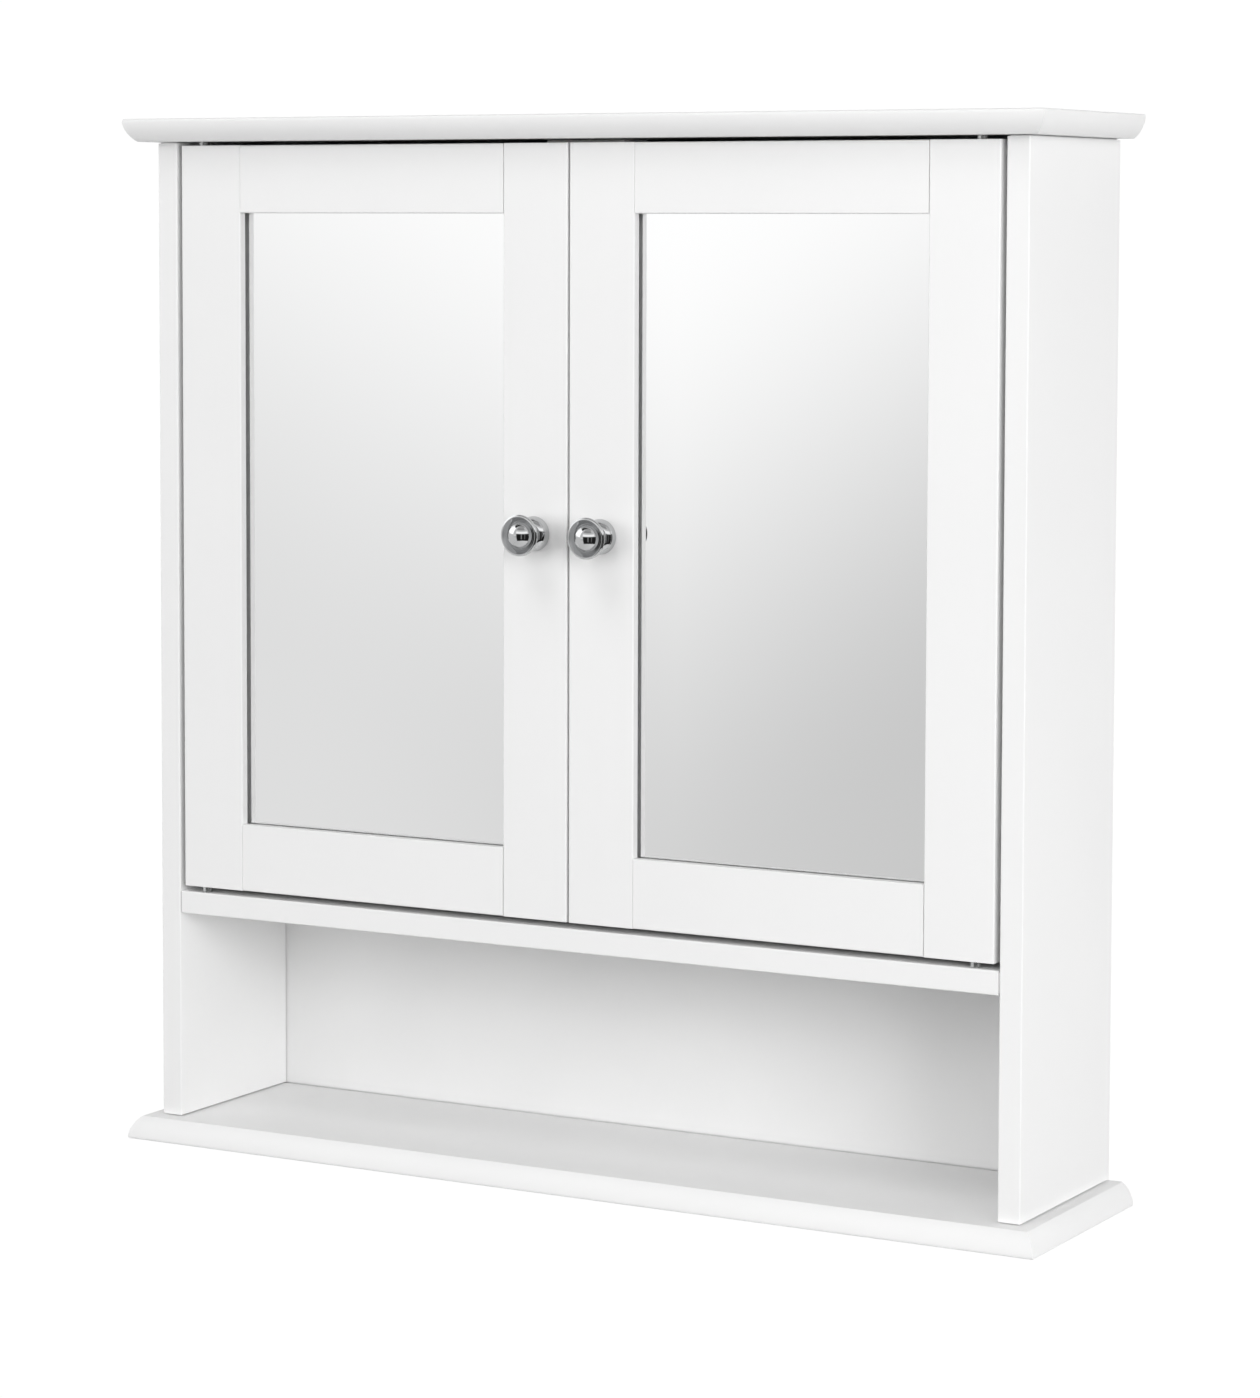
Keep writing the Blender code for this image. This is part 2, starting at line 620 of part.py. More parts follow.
def door_rails(word, side, hinge):
    """Two cross pieces. Their rear halves lap into the stiles' rebates, and their faces butt."""
    lip = FRONT + REVEAL
    rails = {"top": (DOOR_TOP, OPENING_TOP, 1), "bottom": (DOOR_BOTTOM, OPENING_BOTTOM, -1)}
    near, far = OPENING_IN - REBATE + GAP, OPENING_OUT + REBATE - GAP
    ends = ((near - 1, OPENING_IN + GAP), (far + 1, OPENING_OUT - GAP))
    for where, (edge, opening, out) in rails.items():
        wall = opening + out * REBATE
        corners = [(FRONT, edge, EDGE), (FRONT, opening, EDGE), (lip, opening, 0), (lip, wall, 0)]
        corners += [(DOOR_REAR, wall, 0), (DOOR_REAR, edge, EDGE)]
        bm = bmesh.new()
        prism(bm, outline(corners), "X", *sorted((side * near, side * far)))
        rail = make(f"{word}_{where}_rail", bm, "paint", hinge)
        bm = bmesh.new()
        for end, shoulder in ends:
            x = (side * end, side * shoulder)
            block(bm, x, (FRONT - 1, lip + GAP), (edge + out, opening - out))
        cut(rail, bm, "laps")


def door_mirror(word, side, hinge):
    """The mirror, and the backing board that holds it in the rebate."""
    reach = REBATE - MIRROR_PLAY
    x = (side * (OPENING_IN - reach), side * (OPENING_OUT + reach))
    z = (OPENING_BOTTOM - reach, OPENING_TOP + reach)
    face = FRONT + REVEAL + GAP
    bm = bmesh.new()
    block(bm, x, (face, face + MIRROR), z)
    make(f"{word}_mirror", bm, "mirror", hinge)
    rear = face + MIRROR + GAP
    bm = bmesh.new()
    block(bm, x, (rear, rear + PANEL), z)
    make(f"{word}_mirror_backing", bm, "hardboard", hinge)


def knob_profile():
    """From the screw bore, round the foot, flange, waist, flare and rim to a ball in a dish."""
    bore_r = KNOB_SCREW_R + GAP
    rear = [(0, KNOB_BORE), (bore_r, KNOB_BORE), (bore_r, 0), (9.2, 0), (9.4, 1.0)]
    flange = [(9.0, 2.7), (8.0, 4.5), (6.4, 5.7), (4.6, 6.2)]
    waist = [(4.5, 7.6), (4.7, 10.1), (5.6, 11.5), (8.1, 12.7)]
    step = [(9.4, 13.0), (9.5, 14.3)]
    rim = [(10.4, 14.7), (11.0, 15.3), (11.15, 15.9), (10.9, 16.7), (9.9, 17.0)]
    dish = [(9.3, 16.0), (8.7, 15.2), (8.1, 14.5), (7.66, 14.0)]
    ball, centre = KNOB_BALL
    start = math.acos((dish[-1][1] - centre) / ball)
    turns = [start * (1 - i / KNOB_BALL_STEPS) for i in range(1, KNOB_BALL_STEPS)]
    dome = [(ball * math.sin(a), centre + ball * math.cos(a)) for a in turns]
    return rear + flange + waist + step + rim + dish + dome + [(0, centre + ball)]


def door_knob(word, side, hinge):
    """A turned knob, and the screw that holds it through the stile."""
    x, z = side * KNOB_X, KNOB_Z
    bm = bmesh.new()
    turned(bm, knob_profile(), (x, FRONT - GAP, z), (0, -1, 0), 24)
    make(f"{word}_knob", bm, "chrome", hinge)
    shank = KNOB_SCREW_R
    head, tall = KNOB_SCREW_HEAD
    reach = tall + GAP + DOOR + GAP + KNOB_SCREW_REACH
    profile = [(0, 0), (head - 0.9, 0), (head - 0.2, 0.5), (head, 1.1), (head, tall), (shank, tall)]
    profile += [(shank, reach - 0.8), (shank - 0.8, reach), (0, reach)]
    start = DOOR_REAR + GAP + tall
    bm = bmesh.new()
    turned(bm, profile, (x, start, z), (0, -1, 0), 12)
    bolt = make(f"{word}_knob_screw", bm, "steel", hinge)
    bm = bmesh.new()
    block(bm, (x - 2.6, x + 2.6), (start - 1.0, start + 1), (z - 0.5, z + 0.5))
    cut(bolt, bm, "slot")


def door_pins(word, side, hinge):
    """Pivot pins pressed into the stile's ends, each with a collar that fills the gap."""
    ends = {"top": (DOOR_TOP, 1, TOP_GAP), "bottom": (DOOR_BOTTOM, -1, BOTTOM_GAP)}
    for where, (z, way, gap) in ends.items():
        low, high = PIN_IN_DOOR + GAP, PIN_IN_DOOR + gap - GAP
        end = PIN_IN_DOOR + gap + PIN_IN_BOARD
        profile = [(0, 0), (PIN_R - 0.5, 0), (PIN_R, 0.5), (PIN_R, low), (PIN_COLLAR_R, low)]
        profile += [(PIN_COLLAR_R, high), (PIN_R, high), (PIN_R, end - 0.5)]
        profile += [(PIN_R - 0.5, end), (0, end)]
        bm = bmesh.new()
        start = (side * PIVOT_X, PIVOT_Y, z - way * PIN_IN_DOOR)
        turned(bm, profile, start, (0, 0, way), 16)
        make(f"{word}_pivot_pin_{where}", bm, "steel", hinge)


def door_strike(word, side, hinge):
    wide, thick, tall = STRIKE
    x, rear = side * STRIKE_X, DOOR_REAR + GAP + thick
    corners = [(x - wide / 2, STRIKE_Z - tall / 2), (x + wide / 2, STRIKE_Z - tall / 2)]
    corners += [(x + wide / 2, STRIKE_Z + tall / 2), (x - wide / 2, STRIKE_Z + tall / 2)]
    bm = bmesh.new()
    prism(bm, outline([(*c, 2) for c in corners], 4), "Y", DOOR_REAR + GAP, rear)
    plate = make(f"{word}_strike_plate", bm, "steel", hinge)
    _, head, shank = STRIKE_SCREW
    place = (x, rear, STRIKE_Z)
    bm = bmesh.new()
    bore(bm, place, (0, -1, 0), shank + GAP, thick + 1, head + GAP)
    cut(plate, bm, "hole")
    screw(f"{word}_strike_screw", place, (0, -1, 0), STRIKE_SCREW, hinge)


def main():
    for obj in list(bpy.data.objects):
        bpy.data.objects.remove(obj, do_unlink=True)
    top_board()
    bottom_board()
    for word, side in SIDES.items():
        side_panel(word, side)
    fixed_shelf()
    back_panel()
    board_screws()
    shelf_fittings()
    hangers()
    adjustable_shelf()
    shelf_pins()
    magnetic_catch()
    for word, side in SIDES.items():
        hinge = hinge_empty(word, side)
        door_stiles(word, side, hinge)
        door_rails(word, side, hinge)
        door_mirror(word, side, hinge)
        door_knob(word, side, hinge)
        door_pins(word, side, hinge)
        door_strike(word, side, hinge)


main()
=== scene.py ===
"""The looks of the hanging wall cabinet: painted boards, mirrors, chrome knobs and bright fittings.

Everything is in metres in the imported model's frame: the origin on the wall plane at the middle of
the top board's rear edge, +X right for someone facing the doors, +Y into the wall, +Z up. Sizes
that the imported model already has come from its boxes.
"""

import json
import math
import bmesh
import bpy
from mathutils import Matrix, Vector

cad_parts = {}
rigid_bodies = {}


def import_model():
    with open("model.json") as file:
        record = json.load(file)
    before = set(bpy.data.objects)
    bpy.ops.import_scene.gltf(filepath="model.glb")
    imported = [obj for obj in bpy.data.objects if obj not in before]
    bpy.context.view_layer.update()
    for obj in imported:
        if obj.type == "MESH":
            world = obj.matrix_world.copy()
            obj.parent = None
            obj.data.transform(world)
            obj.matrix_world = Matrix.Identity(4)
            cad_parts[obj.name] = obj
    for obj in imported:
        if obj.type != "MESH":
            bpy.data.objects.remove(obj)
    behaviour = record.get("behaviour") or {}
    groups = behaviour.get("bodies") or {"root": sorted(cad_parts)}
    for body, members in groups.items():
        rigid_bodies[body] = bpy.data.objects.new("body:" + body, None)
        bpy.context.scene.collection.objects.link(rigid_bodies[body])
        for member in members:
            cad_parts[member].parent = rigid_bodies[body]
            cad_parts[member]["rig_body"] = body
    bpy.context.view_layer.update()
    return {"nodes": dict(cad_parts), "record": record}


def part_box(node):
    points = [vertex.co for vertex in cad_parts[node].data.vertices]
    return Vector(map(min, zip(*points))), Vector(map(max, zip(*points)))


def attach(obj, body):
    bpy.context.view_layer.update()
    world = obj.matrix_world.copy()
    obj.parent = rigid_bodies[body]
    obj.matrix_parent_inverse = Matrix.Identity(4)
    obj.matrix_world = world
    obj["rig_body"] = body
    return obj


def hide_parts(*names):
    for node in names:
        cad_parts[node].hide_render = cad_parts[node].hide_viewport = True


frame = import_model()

MM = 0.001
GAP = 0.3 * MM  # air between two pieces that touch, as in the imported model
SIDES = {"left": -1, "right": 1}

# Boards
MOULD_LIP = 1.9 * MM  # from a board's widest side to where its slope starts
MOULD_LIP_ROUND = 1.3 * MM
MOULD_INSET = 6.6 * MM
MOULD_LEAN = 8.0  # how far the slope leans where it leaves the lip, in degrees
MOULD_ROUND = 1.1 * MM  # between the slope and the board's flat side
GROOVE = 5 * MM
PANEL_PLAY = 0.8 * MM  # between the back panel's face and the front of its grooves
PANEL_SEAM = (1.2 * MM, 0.6 * MM)  # depth and height of the dark line where it meets the niche floor
JOINT_LINE = (1.2 * MM, 0.5 * MM)  # depth and height of the dark line where a board butts on another
JOINT_CLOSED = 0.1 * MM

# Doors
MIRROR_BEHIND = 2 * MM  # the silver's apparent depth behind the frame's lip, seen through 3 mm glass
SPRIG = (9 * MM, 5 * MM, 0.5 * MM)  # width, length and thickness of a glazing sprig
SPRIG_BITE = 1.5 * MM  # how far it is driven into the frame

# Knobs: radii and distances from the foot, in millimetres
KNOB_BALL = (7.7, 13.2)  # radius and centre
KNOB_RIM = (11.15, 15.9)  # radius and height of the rim's widest line

# Camera
CAMERA_PLACE = (1.0968, -2.0154, -0.0519)
CAMERA_TURN = (29.15, -4.10, 0.155)  # yaw, pitch and roll, in degrees
CAMERA_LENS = 106.1
CAMERA_SHIFT_Y = -0.128

# Studio
AIM = (0, -0.1, -0.28)
LIGHT_REACH = 2.2
LIGHT_SIZE = 0.9
LIGHTS = {  # bearing from the front, positive to the right, height above the horizon, and power
    "high_left": (-20, 60, 12.8),
    "front_left": (-20, 5, 4.3),
    "low_left": (-75, 5, 6.8),
    "high_right": (30, 30, 4.8),
    "right": (55, 5, 17.6),
    "far_right": (80, 5, 8.6),
    "behind": (180, 20, 12.0),
}
SKY_LIGHT = 1.15  # a band of light just above the horizon
GROUND_LIGHT = 0.08
FLOOR_HEIGHT = -1.55
FLOOR_RADIUS = 1.6
FLOOR_GLOW = 0.1
BACKDROP = 1.02  # what the camera sees behind the cabinet
ROOM = 0.8  # brightness of the studio's walls, where it is mirrored
ROOM_PATCHES = (  # soft boxes and dark gaps: bearings, heights, brightness and softness of the edge
    ((-118, -44), (8, 50), 2.0, 4.0),
    ((100, 135), (-4, 55), 1.8, 4.0),
    ((-25, 60), (44, 64), 0.4, 4.0),
    ((-400, 400), (66, 100), 0.45, 4.0),
    ((-190, -50), (50, 100), 0.02, 4.0),
    ((-15, 92), (-42, 13), 0.02, 2.0),
    ((22, 30), (-28, 13), 0.34, 1.5),
    ((51, 56), (-28, 13), 0.24, 1.5),
    ((-20, 80), (16, 32), 1.5, 2.0),
)


# ---------------------------------------------------------------- materials
class Surface:
    """A Principled material and the nodes that vary it, in the object's own metres."""

    def __init__(self, name, roughness, metallic=0.0, **constants):
        self.material = bpy.data.materials.new(name)
        self.material.use_nodes = True
        self.tree = self.material.node_tree
        self.shader = self.tree.nodes["Principled BSDF"]
        self.shader.inputs["Roughness"].default_value = roughness
        self.shader.inputs["Metallic"].default_value = metallic
        for key, value in constants.items():
            self.shader.inputs[key.replace("_", " ")].default_value = value
        self.place = self.node("ShaderNodeTexCoord").outputs["Object"]

    def node(self, kind, **inputs):
        made = self.tree.nodes.new(kind)
        for key, value in inputs.items():
            self.put(value, made.inputs[key.replace("_", " ")])
        return made

    def put(self, value, socket):
        """Sets a socket to a value, or links another socket to it."""
        if isinstance(value, bpy.types.NodeSocket):
            self.tree.links.new(value, socket)
        else:
            socket.default_value = value

    def noise(self, scale, low=0.0, high=1.0, detail=2.0, stretch=(1, 1, 1), narrow=0.25):
        """Noise with a number of features per metre, spread between low and high."""
        mapping = self.node("ShaderNodeMapping", Vector=self.place, Scale=stretch)
        texture = self.node("ShaderNodeTexNoise", Vector=mapping.outputs[0], Scale=scale, Detail=detail)
        spread = self.node("ShaderNodeMapRange", Value=texture.outputs[0], To_Min=low, To_Max=high)
        spread.inputs["From Min"].default_value = narrow
        spread.inputs["From Max"].default_value = 1 - narrow
        return spread.outputs[0]

    def colour(self, factor, first, second):
        mix = self.node("ShaderNodeMix")
        mix.data_type = "RGBA"
        self.put(factor, mix.inputs["Factor"])
        self.put((*first, 1), mix.inputs[6])
        self.put((*second, 1), mix.inputs[7])
        self.put(mix.outputs[2], self.shader.inputs["Base Color"])

    def roughness(self, value):
        self.put(value, self.shader.inputs["Roughness"])

    def bump(self, height, distance, strength=1.0):
        """Adds relief of a height in metres on top of what is there."""
        made = self.node("ShaderNodeBump", Height=height, Distance=distance, Strength=strength)
        under = self.shader.inputs["Normal"]
        if under.links:
            self.put(under.links[0].from_socket, made.inputs["Normal"])
        self.put(made.outputs[0], under)


def white_paint():
    """Satin paint sprayed on fine fibreboard: faint orange peel, slow drifts of tone and gloss."""
    s = Surface("white_paint", 0.4)
    s.colour(s.noise(7, detail=3), (0.866, 0.866, 0.866), (0.884, 0.884, 0.882))
    s.roughness(s.noise(55, 0.36, 0.46, detail=3))
    s.bump(s.noise(420, detail=2), 5e-6)
    s.bump(s.noise(2600, detail=1), 1.5e-6)
    return s.material


def moulded_paint():
    """The same paint over a cutter's fine lengthwise lines and the more open core of the board."""
    s = Surface("moulded_paint", 0.42)
    s.colour(s.noise(9, detail=3), (0.864, 0.864, 0.864), (0.884, 0.884, 0.882))
    s.roughness(s.noise(80, 0.38, 0.5, detail=3))
    s.bump(s.noise(1, stretch=(6, 6, 1400), detail=2), 6e-6)
    s.bump(s.noise(520, detail=2), 6e-6)
    return s.material


def white_hardboard():
    """Thin hardboard with a printed white face: flatter, with a faint fibrous grain."""
    s = Surface("white_hardboard", 0.5)
    s.colour(s.noise(14, detail=4), (0.856, 0.856, 0.856), (0.88, 0.88, 0.878))
    s.roughness(s.noise(120, 0.45, 0.58, detail=3))
    s.bump(s.noise(1, stretch=(260, 260, 900), detail=4), 9e-6)
    return s.material


def mirror_silver():
    s = Surface("mirror_silver", 0.0, 1.0)
    s.colour(s.noise(3, detail=1), (0.955, 0.957, 0.957), (0.963, 0.965, 0.965))
    s.roughness(s.noise(25, 0.0, 0.012, detail=3, narrow=0.35))
    return s.material


def chrome():
    s = Surface("polished_chrome", 0.05, 1.0)
    s.colour(s.noise(60, detail=2), (0.55, 0.555, 0.56), (0.58, 0.585, 0.59))
    s.roughness(s.noise(300, 0.03, 0.08, detail=4))
    s.bump(s.noise(2500, detail=2), 2e-7)
    return s.material


def zinc_steel():
    """Zinc plated steel: fine spangle of grey and small scratches."""
    s = Surface("zinc_steel", 0.3, 1.0)
    s.colour(s.noise(700, detail=3), (0.52, 0.53, 0.53), (0.68, 0.69, 0.68))
    s.roughness(s.noise(900, 0.22, 0.42, detail=3))
    s.bump(s.noise(1, stretch=(1500, 1500, 300), detail=3), 2e-6)
    return s.material


def white_plastic():
    s = Surface("moulded_plastic", 0.35, Subsurface_Weight=0.05, Subsurface_Scale=0.002)
    s.colour(s.noise(30, detail=2), (0.80, 0.80, 0.785), (0.83, 0.83, 0.815))
    s.roughness(s.noise(400, 0.3, 0.42, detail=2))
    s.bump(s.noise(1800, detail=2), 4e-6)
    return s.material


def ferrite():
    s = Surface("ferrite", 0.55)
    s.colour(s.noise(1500, detail=3), (0.035, 0.035, 0.038), (0.07, 0.07, 0.075))
    s.roughness(s.noise(900, 0.45, 0.65, detail=2))
    s.bump(s.noise(1200, detail=3), 1e-5)
    return s.material


def floor_paper():
    """Pale paper lit from within, so that it stays nearly as light as the white behind it."""
    s = Surface("pale_floor", 0.8, Emission_Color=(1, 1, 1, 1), Emission_Strength=FLOOR_GLOW)
    s.colour(s.noise(2, detail=3), (0.91, 0.91, 0.91), (0.94, 0.94, 0.94))
    s.bump(s.noise(300, detail=3), 2e-5)
    return s.material


# ---------------------------------------------------------------- shapes
def arc(centre, radius, start, end, steps):
    """Points along an arc, both ends included; the angles are in degrees."""
    turns = [math.radians(start + (end - start) * i / steps) for i in range(steps + 1)]
    return [(centre[0] + radius * math.cos(a), centre[1] + radius * math.sin(a)) for a in turns]


def outline(corners, steps=5):
    """A closed outline from (u, v, radius) corners, each rounded to its radius."""
    points = []
    for i, (u, v, radius) in enumerate(corners):
        here = Vector((u, v))
        if radius == 0:
            points.append((u, v))
            continue
        before = (Vector(corners[i - 1][:2]) - here).normalized()
        after = (Vector(corners[(i + 1) % len(corners)][:2]) - here).normalized()
        centre = here + (before + after) * radius
        first, last = here + before * radius - centre, here + after * radius - centre
        start = math.degrees(math.atan2(first.y, first.x))
        turn = math.degrees(first.angle_signed(last))
        points += arc(centre, radius, start, start - turn, steps)
    return points


def prism(bm, points, axis, low, high):
    """Adds an outline swept straight along an axis. Its (u, v) are the two other axes in order."""
    place = {
        "X": lambda u, v, w: (w, u, v),
        "Y": lambda u, v, w: (u, w, v),
        "Z": lambda u, v, w: (u, v, w),
    }[axis]
    rings = [[bm.verts.new(place(u, v, w)) for u, v in points] for w in (low, high)]
    faces = [bm.faces.new(rings[0]), bm.faces.new(rings[1])]
    for i in range(len(points)):
        j = (i + 1) % len(points)
        faces.append(bm.faces.new((rings[0][i], rings[0][j], rings[1][j], rings[1][i])))
    bmesh.ops.recalc_face_normals(bm, faces=faces)


def block(bm, x, y, z):
    """Adds a box from three (low, high) pairs, in any order."""
    (x0, x1), (y0, y1), (z0, z1) = sorted(x), sorted(y), sorted(z)
    prism(bm, [(x0, y0), (x1, y0), (x1, y1), (x0, y1)], "Z", z0, z1)


def turned(bm, profile, place, direction, steps=48):
    """Adds a solid of revolution. The profile's (radius, height) pairs start and end on the axis,
    and its height runs along the direction from the place."""
    turn = Vector((0, 0, 1)).rotation_difference(Vector(direction)).to_matrix().to_4x4()
    move = Matrix.Translation(place) @ turn
    rings = []
    for radius, height in profile:
        if radius == 0:
            rings.append([bm.verts.new(move @ Vector((0, 0, height)))])
            continue
        angles = [2 * math.pi * i / steps for i in range(steps)]
        ring = [Vector((radius * math.cos(a), radius * math.sin(a), height)) for a in angles]
        rings.append([bm.verts.new(move @ p) for p in ring])
    faces = []
    for low, high in zip(rings, rings[1:]):
        for i in range(steps):
            j = (i + 1) % steps
            corners = [low[i % len(low)], low[j % len(low)], high[j % len(high)], high[i % len(high)]]
            faces.append(bm.faces.new(list(dict.fromkeys(corners))))
    bmesh.ops.recalc_face_normals(bm, faces=faces)


def piece(name, bm, material, body, replaced=(), cuts=None, sharp=38):
    """Turns a bmesh into a piece that rides on a body, with the shapes of another bmesh cut out."""
    mesh = bpy.data.meshes.new(name)
    bm.to_mesh(mesh)
    bm.free()
    obj = bpy.data.objects.new(name, mesh)
    bpy.context.scene.collection.objects.link(obj)
    if cuts:
        cut_away(obj, cuts)
    shade(obj.data, sharp)
    obj.data.materials.clear()
    obj.data.materials.append(material)
    weighted = obj.modifiers.new("flat faces stay flat", "WEIGHTED_NORMAL")
    weighted.keep_sharp = True
    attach(obj, body)
    if replaced:
        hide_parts(*replaced)
    return obj


def shade(mesh, sharp):
    """Shades a mesh smooth but for the edges that turn by more than an angle in degrees."""
    bm = bmesh.new()
    bm.from_mesh(mesh)
    bm.normal_update()
    for face in bm.faces:
        face.smooth = True
    for edge in bm.edges:
        edge.smooth = len(edge.link_faces) == 2 and edge.calc_face_angle() < math.radians(sharp)
    bm.to_mesh(mesh)
    bm.free()


def cut_away(obj, bm):
    """Cuts the shapes of a bmesh out of an object's mesh, for good."""
    mesh = bpy.data.meshes.new("cutter")
    bm.to_mesh(mesh)
    bm.free()
    cutter = bpy.data.objects.new("cutter", mesh)
    bpy.context.scene.collection.objects.link(cutter)
    modifier = obj.modifiers.new("cut", "BOOLEAN")
    modifier.operation = "DIFFERENCE"
    modifier.solver = "EXACT"
    modifier.use_self = True
    modifier.object = cutter
    graph = bpy.context.evaluated_depsgraph_get()
    whole = obj.data
    obj.data = bpy.data.meshes.new_from_object(obj.evaluated_get(graph))
    obj.modifiers.clear()
    bpy.data.meshes.remove(whole)
    bpy.data.objects.remove(cutter)
    bpy.data.meshes.remove(mesh)


# ---------------------------------------------------------------- places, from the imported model
def span(node):
    """A node's (low, high) pairs along X, Y and Z."""
    low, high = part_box(node)
    return [(low[i], high[i]) for i in range(3)]


def middle(node):
    low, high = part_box(node)
    return (low + high) / 2


def screws_in(words):
    """The names of the screws whose names hold all the words."""
    return [n for n in frame["nodes"] if "screw" in n and all(w in n for w in words)]


def hole(bm, centre, direction, radius, depth, sink=0.0):
    """Adds a drill from its mouth into the material, with a 90 degree countersink if asked."""
    wide = max(radius, sink)
    profile = [(0, -MM), (wide, -MM)]
    if sink:
        profile += [(wide, 2 * GAP), (radius, 2 * GAP + wide - radius)]
    profile += [(radius, depth), (0, depth)]
    turned(bm, profile, centre, direction, 32)


# ---------------------------------------------------------------- boards
def mould_rows(thick):
    """The moulding's (inset, drop) from its widest side: a rounded lip, a long convex slope whose
    lean grows steadily, and a small round into the board's flat side."""
    lip, small = MOULD_LIP_ROUND, MOULD_ROUND
    rows = [(lip - lip * math.cos(a), lip - lip * math.sin(a)) for a in
            [math.radians(90 - 15 * i) for i in range(7)]]
    chord = math.degrees(math.atan2(MOULD_INSET - 0.6 * small, thick - MOULD_LIP - 0.2 * small))
    end = 2 * chord - MOULD_LEAN
    start = math.radians(MOULD_LEAN)
    meet = math.radians(end)
    drop = thick - MOULD_LIP - small * (1 - math.sin(meet))
    radius = drop / (math.sin(meet) - math.sin(start))
    for i in range(15):
        lean = start + (meet - start) * i / 14
        inset = radius * (math.cos(start) - math.cos(lean))
        rows.append((inset, MOULD_LIP + radius * (math.sin(lean) - math.sin(start))))
    edge_inset, edge_drop = rows[-1]
    for i in range(1, 6):
        lean = meet + (math.pi / 2 - meet) * i / 5
        inset = edge_inset + small * (math.cos(meet) - math.cos(lean))
        rows.append((inset, edge_drop + small * (math.sin(lean) - math.sin(meet))))
    return rows


def moulded_board(node, up, paint):
    """The top or bottom board: its widest side is up (1) or down (-1)."""
    (x0, x1), (y0, _), (z0, z1) = span(node)
    wide_z = z1 if up > 0 else z0
    flat_z = z0 if up > 0 else z1
    bm = bmesh.new()
    rings = []
    for inset, drop in mould_rows(z1 - z0):
        x, y, z = x1 - inset, y0 + inset, wide_z - up * drop
        rings.append([bm.verts.new(p) for p in ((-x, 0, z), (-x, y, z), (x, y, z), (x, 0, z))])
    bm.faces.new(rings[0])
    bm.faces.new(rings[-1])
    for low, high in zip(rings, rings[1:]):
        for i in range(3):
            bm.faces.new((low[i], low[i + 1], high[i + 1], high[i]))
    bm.faces.new([ring[0] for ring in rings] + [ring[3] for ring in reversed(rings)])
    bmesh.ops.recalc_face_normals(bm, faces=bm.faces)
    cuts = bmesh.new()
    word = "top" if up > 0 else "bottom"
    for screw in screws_in([f"{word}_screw"]):
        spot = middle(screw)
        radius = (span(screw)[0][1] - span(screw)[0][0]) / 2
        hole(cuts, (spot.x, spot.y, wide_z), (0, 0, -up), 2.3 * MM, 14 * MM, radius + GAP)
    panel_x, panel_y, _ = span("back_panel")
    groove_y = (panel_y[0] - PANEL_PLAY, panel_y[1] + GAP)
    block(cuts, panel_x, groove_y, (flat_z - up * MM, flat_z + up * GROOVE))
    if up > 0:
        for side in SIDES:
            plate_x, plate_y, plate_z = span(f"hanger_plate_{side}")
            x, z = (plate_x[0] - GAP, plate_x[1] + GAP), (plate_z[0], plate_z[1] + GAP)
            block(cuts, x, (plate_y[0] - GAP, MM), z)
            pin = span(f"{side}_pivot_pin_top")
            spot = middle(f"{side}_pivot_pin_top")
            hole(cuts, (spot.x, spot.y, flat_z), (0, 0, 1), 2.3 * MM, pin[2][1] - flat_z + GAP)
    piece(f"{word}_board_painted", bm, paint, "cabinet", [node], cuts)


def dressed(node, material):
    """A copy of a node's own shape whose rounded edges and turned faces are shaded smooth."""
    source = frame["nodes"][node]
    bm = bmesh.new()
    bm.from_mesh(source.data)
    bmesh.ops.remove_doubles(bm, verts=bm.verts, dist=1e-6)
    bmesh.ops.dissolve_limit(bm, angle_limit=math.radians(0.3), verts=bm.verts, edges=bm.edges)
    cuts = None
    if node.endswith("side_panel"):
        cuts = bmesh.new()
        joint_lines(cuts, node, 2)
        back_groove(cuts, span(node)[2])
    elif node == "fixed_shelf":
        cuts = bmesh.new()
        joint_lines(cuts, node, 0)
    elif node == "back_panel":
        cuts = bmesh.new()
        floor_seam(cuts)
    elif node.endswith("rail"):
        close_joints(bm)
    piece(f"{node}_finished", bm, material, source["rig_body"], [node], cuts)


def joint_lines(bm, node, axis):
    """Relieves the outer edges of a board's two ends, where they butt on other boards."""
    box = span(node)
    deep, tall = JOINT_LINE
    for end, out in zip(box[axis], (-1, 1)):
        for across in range(3):
            if across == axis:
                continue
            for edge, way in zip(box[across], (-1, 1)):
                sides = [(low - MM, high + MM) for low, high in box]
                sides[axis] = (end + out * MM, end - out * tall)
                sides[across] = (edge + way * MM, edge - way * deep)
                block(bm, *sides)


def close_joints(bm):
    """Lengthens a rail at both ends until the paint nearly bridges its butt joints."""
    middle_x = (min(v.co.x for v in bm.verts) + max(v.co.x for v in bm.verts)) / 2
    for vert in bm.verts:
        vert.co.x += math.copysign(JOINT_CLOSED, vert.co.x - middle_x)


def back_groove(bm, z):
    """Adds the play in front of the back panel, where it enters a board."""
    x, y, _ = span("back_panel")
    block(bm, x, (y[0] - PANEL_PLAY, y[1]), z)


def floor_seam(bm):
    """Breaks the back panel's face where it goes down into the niche floor."""
    x, y, _ = span("back_panel")
    deep, tall = PANEL_SEAM
    floor_z = span("bottom_board")[2][1]
    block(bm, (x[0] - MM, x[1] + MM), (y[0] - MM, y[0] + deep), (floor_z - MM, floor_z + tall))


# ---------------------------------------------------------------- doors
def mirror(side, silver):
    """The mirror's silver, as deep behind the frame's lip as it looks through the glass."""
    x, y, z = span(f"{side}_mirror")
    lip = y[0] - GAP
    bm = bmesh.new()
    block(bm, x, (lip + MIRROR_BEHIND, y[1]), z)
    piece(f"{side}_mirror_silver", bm, silver, f"{side}_door", [f"{side}_mirror"])


